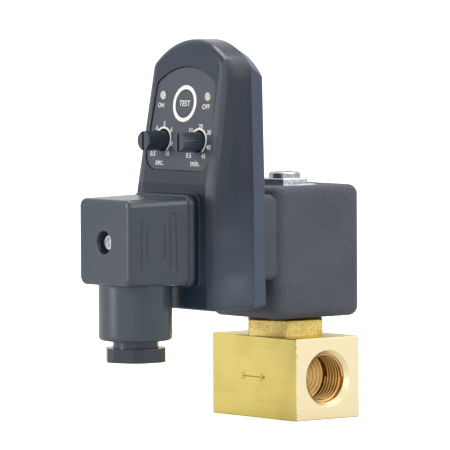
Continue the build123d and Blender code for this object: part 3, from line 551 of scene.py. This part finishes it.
def strokes(name, lines, width, matrix, finish, body):
    """Round-ended strokes through the points of each line, in mm on the matrix's own plane."""
    curve = bpy.data.curves.new(name, "CURVE")
    curve.dimensions = "3D"
    curve.bevel_depth = width / 2
    curve.bevel_resolution = 3
    curve.use_fill_caps = True
    for line in lines:
        spline = curve.splines.new("POLY")
        spline.points.add(len(line) - 1)
        for point, (x, y) in zip(spline.points, line):
            point.co = (x, y, 0, 1)
    flat = matrix @ Matrix.Scale(stroke_relief, 4, (0, 0, 1))
    return place_curve(name, curve, flat, finish, body)


# %% [markdown]
# ## Flow arrow
# The body is marked with the way the water flows: an arrow with an open head and a fletched
# tail, halfway up its front. Its darker tone is the shade inside the cut.

# %% Flow arrow
arrow_half = 5.3
arrow_barb = 2.2
arrow_open = 1.1
arrow_width = 0.30
fletch = 1.2
fletch_rake = 0.72
arrow_lines = [((-arrow_half, 0), (arrow_half, 0))]
for way in (-1, 1):
    arrow_lines.append(((arrow_half - arrow_barb, way * arrow_open), (arrow_half, 0)))
    for start in (0, fletch):
        tail = -arrow_half + start
        arrow_lines.append(((tail - fletch_rake, way * fletch), (tail, 0)))
arrow_shade = metal("arrow_shade", "a8893f", "8e7030", 0.35, 0.45, (0.05, 1, 1), 0.01)
arrow_place = basis(Vector((0, body_low.y, port_z * MM)), (1, 0, 0), (0, 0, 1))
strokes("flow_arrow", arrow_lines, arrow_width, arrow_place, arrow_shade, "valve")

# %% [markdown]
# ## Lines on the plug's sides
# Both sides of the plug carry a pair of fine upright lines before and behind the middle, and a
# framing line nearer the timer. The sides taper from the plug's rim to its face, so the strokes
# lie on a plane that leans in with them, at the height of the plug's own screw.

# %% Plug side lines
line_width = 0.44
side_lean = radians(2.7)
side_anchor_x = 12.97
side_anchor_y = -60.15
side_anchor_z = 56.9
side_lines = [
    ((-6.5, -7.5), (-6.5, 7.2)), ((-4.4, -5.1), (-4.4, 4.8)),
    ((2.1, -5.0), (2.1, 5.1)), ((4.2, -7.7), (4.2, 7.4)),
    ((3.9, 9.0), (5.7, 8.8), (6.3, 8.2), (6.7, -8.6)),
]
for side, name in ((1, "plug_lines_right"), (-1, "plug_lines_left")):
    anchor = mm(side * side_anchor_x, side_anchor_y, side_anchor_z)
    lean = Vector((side * sin(side_lean), cos(side_lean), 0))
    place = basis(anchor, lean * side, (0, 0, 1))
    lines = [[(side * x, z) for x, z in line] for line in side_lines]
    strokes(name, lines, line_width, place, mark_shadow, "coil_and_timer")

# %% [markdown]
# ## The panel's printing
# White ink on the dark film marks the test button with a ring, names the two lamps, and gives
# each knob a scale. All of it lies on the leaning film, so places are measured on the film:
# across from its middle, and up from its lower edge.

# %% The panel's own plane
panel_lean = radians(9.3)
film_thickness = 0.5
film_low, film_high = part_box("panel_overlay")
panel_foot = Vector((0, film_low.y, film_low.z + mm(film_thickness) * sin(panel_lean)))
panel_up = Vector((0, sin(panel_lean), cos(panel_lean)))
ink_lift = 0.012


def on_panel(across, rise):
    """The matrix of a place on the film: x to the right, y up the slope, z out of the film."""
    place = basis(panel_foot, (1, 0, 0), panel_up)
    return place @ Matrix.Translation(mm(across, rise, ink_lift))


def panel_rise(z):
    """How far up the film a height in metres is, in millimetres."""
    return (z - panel_foot.z) / cos(panel_lean) / MM


print("film from", round(film_low.z / MM, 2), "to", round(film_high.z / MM, 2), "mm high")

# %% Rings and arcs
ink_height = 0.03


def ink_arc(name, across, rise, inner, outer, start=0.0, sweep=tau):
    """A flat band of ink from one radius to another, over a part of the turn."""
    shape = bmesh.new()
    corners = ((inner, 0), (outer, 0), (outer, ink_height), (inner, ink_height))
    ring = [shape.verts.new((radius * cos(start), radius * sin(start), height))
            for radius, height in corners]
    loop = [shape.edges.new((ring[i], ring[(i + 1) % len(ring)])) for i in range(len(ring))]
    closed = sweep == tau
    bmesh.ops.spin(shape, geom=ring + loop, cent=(0, 0, 0), axis=(0, 0, 1), angle=sweep,
                   steps=72, use_merge=closed)
    if not closed:
        bmesh.ops.holes_fill(shape, edges=[e for e in shape.edges if e.is_boundary], sides=len(ring))
    return place_bmesh(name, shape, on_panel(across, rise), white_ink, "coil_and_timer",
                       smooth=False)


button_rise = 20.62
ring_inner = 4.45
ring_outer = 5.7
ink_arc("test_ring", 0, button_rise, ring_inner, ring_outer)

knob_low, knob_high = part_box("minutes_knob")
knob_across = (knob_low.x + knob_high.x) / 2 / MM
knob_rise = panel_rise((knob_low.z + knob_high.z) / 2)
scale_radius = 3.93
scale_half = 0.3
scale_start = radians(-50)
scale_sweep = radians(280)
for side, name in ((-1, "seconds_scale"), (1, "minutes_scale")):
    ink_arc(name, side * knob_across, knob_rise, scale_radius - scale_half, scale_radius + scale_half,
            scale_start, scale_sweep)

# %% [markdown]
# ## Letters and figures
# The words are set in the plain sans-serif that comes with Blender. A text is made as a curve,
# given the thickness of the ink, turned into a mesh and laid on the film.

# %% Panel text
size_per_height = 1.4


def ink_text(name, words, across, rise, height):
    curve = bpy.data.curves.new(name, "FONT")
    curve.body = words
    curve.size = height * size_per_height
    curve.align_x = "CENTER"
    curve.align_y = "CENTER"
    curve.extrude = ink_height / 2
    curve.offset = 0.02
    curve.resolution_u = 4
    place = on_panel(across, rise)
    return place_curve(name, curve, place, white_ink, "coil_and_timer")


panel_words = (
    ("word_test", "TEST", 0, button_rise, 1.75),
    ("word_on", "ON", -11.6, 19.8, 1.4), ("word_off", "OFF", 10.6, 19.8, 1.5),
    ("word_seconds", "sec.", -8.9, 2.2, 1.95), ("word_minutes", "min.", 8.6, 2.3, 1.95),
)
for name, words, across, rise, height in panel_words:
    ink_text(name, words, across, rise, height)

# %% [markdown]
# ## Figures of the scales
# The figures stand round each knob. They are upright and of different widths, so each one has
# its own place, in millimetres to the right of the knob's middle and up from it.

# %% Figures
figure_height = 1.5
seconds_figures = (("0.5", -3.95, -4.36), ("2", -5.5, -0.4), ("4", -3.61, 3.64), ("5", 0, 4.98),
                   ("6", 3.79, 3.31), ("8", 4.65, -1.11), ("10", 3.0, -4.14))
minutes_figures = (("0.5", -3.72, -4.44), ("10", -4.28, 3.25), ("20", 0.47, 4.64),
                   ("30", 4.82, 2.91), ("40", 5.47, -1.69), ("45", 3.52, -4.49))
for side, scale, figures in ((-1, "seconds", seconds_figures), (1, "minutes", minutes_figures)):
    for number, (figure, right, up) in enumerate(figures):
        across = side * knob_across + right
        ink_text(scale + "_figure_" + str(number), figure, across, knob_rise + up, figure_height)

# %% [markdown]
# ## Floor and light
# The valve stands on a white table in front of a white wall. The table is a diffuse white that
# takes the soft shadow and glows a little more farther out, so that it runs into the wall. The
# world shows plain white to the camera and in reflections while it lights the object only
# gently. A tall warm soft box stands before the operator's side and draws the highlights along
# the rounded edges, a wide one behind the outlet lights that end, one hangs above the back, and
# a weak one fills the front.

# %% Floor
near_glow = 0.55
glow_start = 0.1
glow_end = 0.8
table_half = 30
table_white = (0.9, 0.9, 0.9, 1)
table_drop = mm(0.02)
floor_finish, floor_desk, floor_place = start_finish("table_white")
floor_surface = floor_finish.node_tree.nodes["Principled BSDF"]
floor_surface.inputs["Base Color"].default_value = table_white
floor_surface.inputs["Roughness"].default_value = 0.9
floor_surface.inputs["Emission Strength"].default_value = 1.0
seen = floor_desk.node("ShaderNodeLightPath", output="Is Camera Ray")
distance = floor_place.node("ShaderNodeVectorMath", {"operation": "LENGTH"},
                            {0: floor_place}, "Value")
glow = seen * (distance.rise(glow_start, glow_end) * (1 - near_glow) + near_glow)
glow_tone = glow.mix(swatch("000000"), swatch("ffffff"))
floor_finish.node_tree.links.new(glow_tone.socket, floor_surface.inputs["Emission Color"])
floor_shape = bmesh.new()
bmesh.ops.create_grid(floor_shape, x_segments=1, y_segments=1, size=table_half,
                      matrix=Matrix.Translation((0, 0, -table_drop)))
floor_mesh = bpy.data.meshes.new("table")
floor_shape.to_mesh(floor_mesh)
floor_shape.free()
floor_mesh.materials.append(floor_finish)
floor = bpy.data.objects.new("table", floor_mesh)
bpy.context.collection.objects.link(floor)
print("table", table_half * 2, "m wide, glows from", near_glow, "to 1")

# %% World
ambient_level = 0.38
world = bpy.data.worlds.new("studio")
bpy.context.scene.world = world
world.use_nodes = True
sky = Field(world.node_tree)
camera_ray = sky.node("ShaderNodeLightPath", output="Is Camera Ray")
glossy_ray = sky.node("ShaderNodeLightPath", output="Is Glossy Ray")
through_ray = sky.node("ShaderNodeLightPath", output="Is Transmission Ray")
shown = camera_ray.most(glossy_ray).most(through_ray)
background = world.node_tree.nodes["Background"]
background.inputs["Color"].default_value = (1, 1, 1, 1)
world.node_tree.links.new((shown * (1 - ambient_level) + ambient_level).socket,
                          background.inputs["Strength"])


# %% Soft boxes
def soft_box(name, azimuth, elevation, distance, width, height, power, tint=(1, 1, 1)):
    """A large area light that looks at the middle of the object. Its angles are in degrees."""
    light = bpy.data.lights.new(name, "AREA")
    light.shape = "RECTANGLE"
    light.size = width
    light.size_y = height
    light.energy = power
    light.color = tint
    turn, climb = radians(azimuth), radians(elevation)
    toward = Vector((sin(turn) * cos(climb), -cos(turn) * cos(climb), sin(climb)))
    middle = (cad_box[0] + cad_box[1]) / 2
    facing = toward.to_track_quat("Z", "Y").to_matrix().to_4x4()
    lamp = bpy.data.objects.new(name, light)
    lamp.matrix_world = Matrix.Translation(middle + toward * distance) @ facing
    bpy.context.collection.objects.link(lamp)
    print(name, "at", azimuth, "degrees round and", elevation, "up")


warm_tint = (1, 0.94, 0.90)
soft_box("operator_light", -22, 14, 1.3, 0.45, 1.2, 14.0, warm_tint)
soft_box("port_light", 118, 30, 1.4, 0.9, 0.9, 6.4)
soft_box("top_light", 200, 70, 1.3, 0.8, 0.8, 8.0)
soft_box("front_fill", 32, 4, 1.5, 1.2, 1.2, 3.2)

# %% [markdown]
# ## Colour management
# The Standard view shows a colour as it was written.

# %% View transform
bpy.context.scene.view_settings.view_transform = "Standard"
